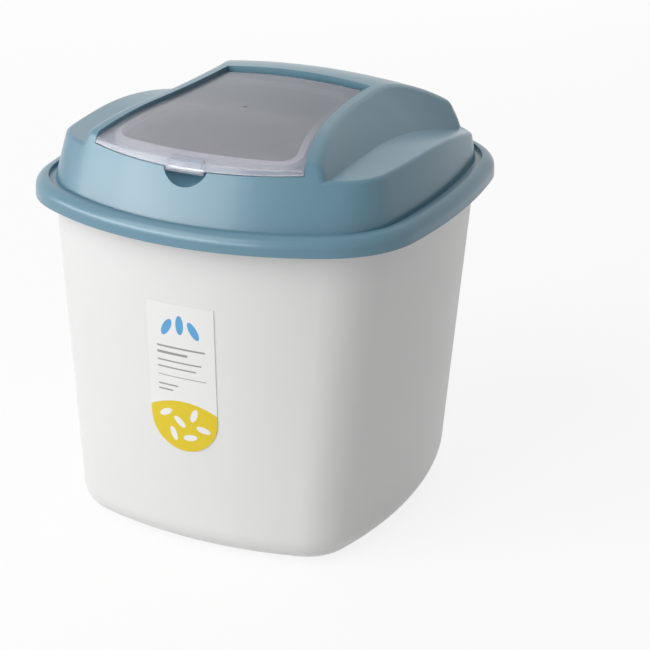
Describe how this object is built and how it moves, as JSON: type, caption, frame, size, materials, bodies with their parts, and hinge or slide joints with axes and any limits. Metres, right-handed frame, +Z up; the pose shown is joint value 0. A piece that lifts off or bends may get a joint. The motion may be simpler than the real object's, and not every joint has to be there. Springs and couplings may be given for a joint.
{
  "type": "rice bucket",
  "caption": "Tapered kitchen bucket for dry rice with a lift-off domed lid and a see-through front flap hinged in the lid.",
  "frame": {"origin": "middle of the bucket's foot, on the surface that it stands on", "axes": "+Z up, -Y to the front where the flap's thumb tab is, +X across the width"},
  "size_m": [0.26, 0.27, 0.27],
  "materials": {
    "white_plastic": "semi-gloss",
    "blue_plastic": "semi-gloss",
    "smoky_clear": "gloss, see-through plastic",
    "seal_rubber": "matte",
    "label_film": "satin"
  },
  "bodies": {
    "bucket": {"bucket": "white_plastic", "label": "label_film"},
    "lid": {"lid": "blue_plastic", "lid_seal": "seal_rubber", "flap_seal": "seal_rubber"},
    "flap": {"flap": "smoky_clear"}
  },
  "joints": [
    {"name": "lid_lift", "type": "slide", "parent": "bucket", "child": "lid", "axis": [0, 0, 1], "range_m": [0, 0.12]},
    {"name": "flap_hinge", "type": "hinge", "parent": "lid", "child": "flap", "pos_m": [0, 0.0348, 0.26041], "axis": [-1, 0, 0], "range_deg": [0, 93]}
  ]
}
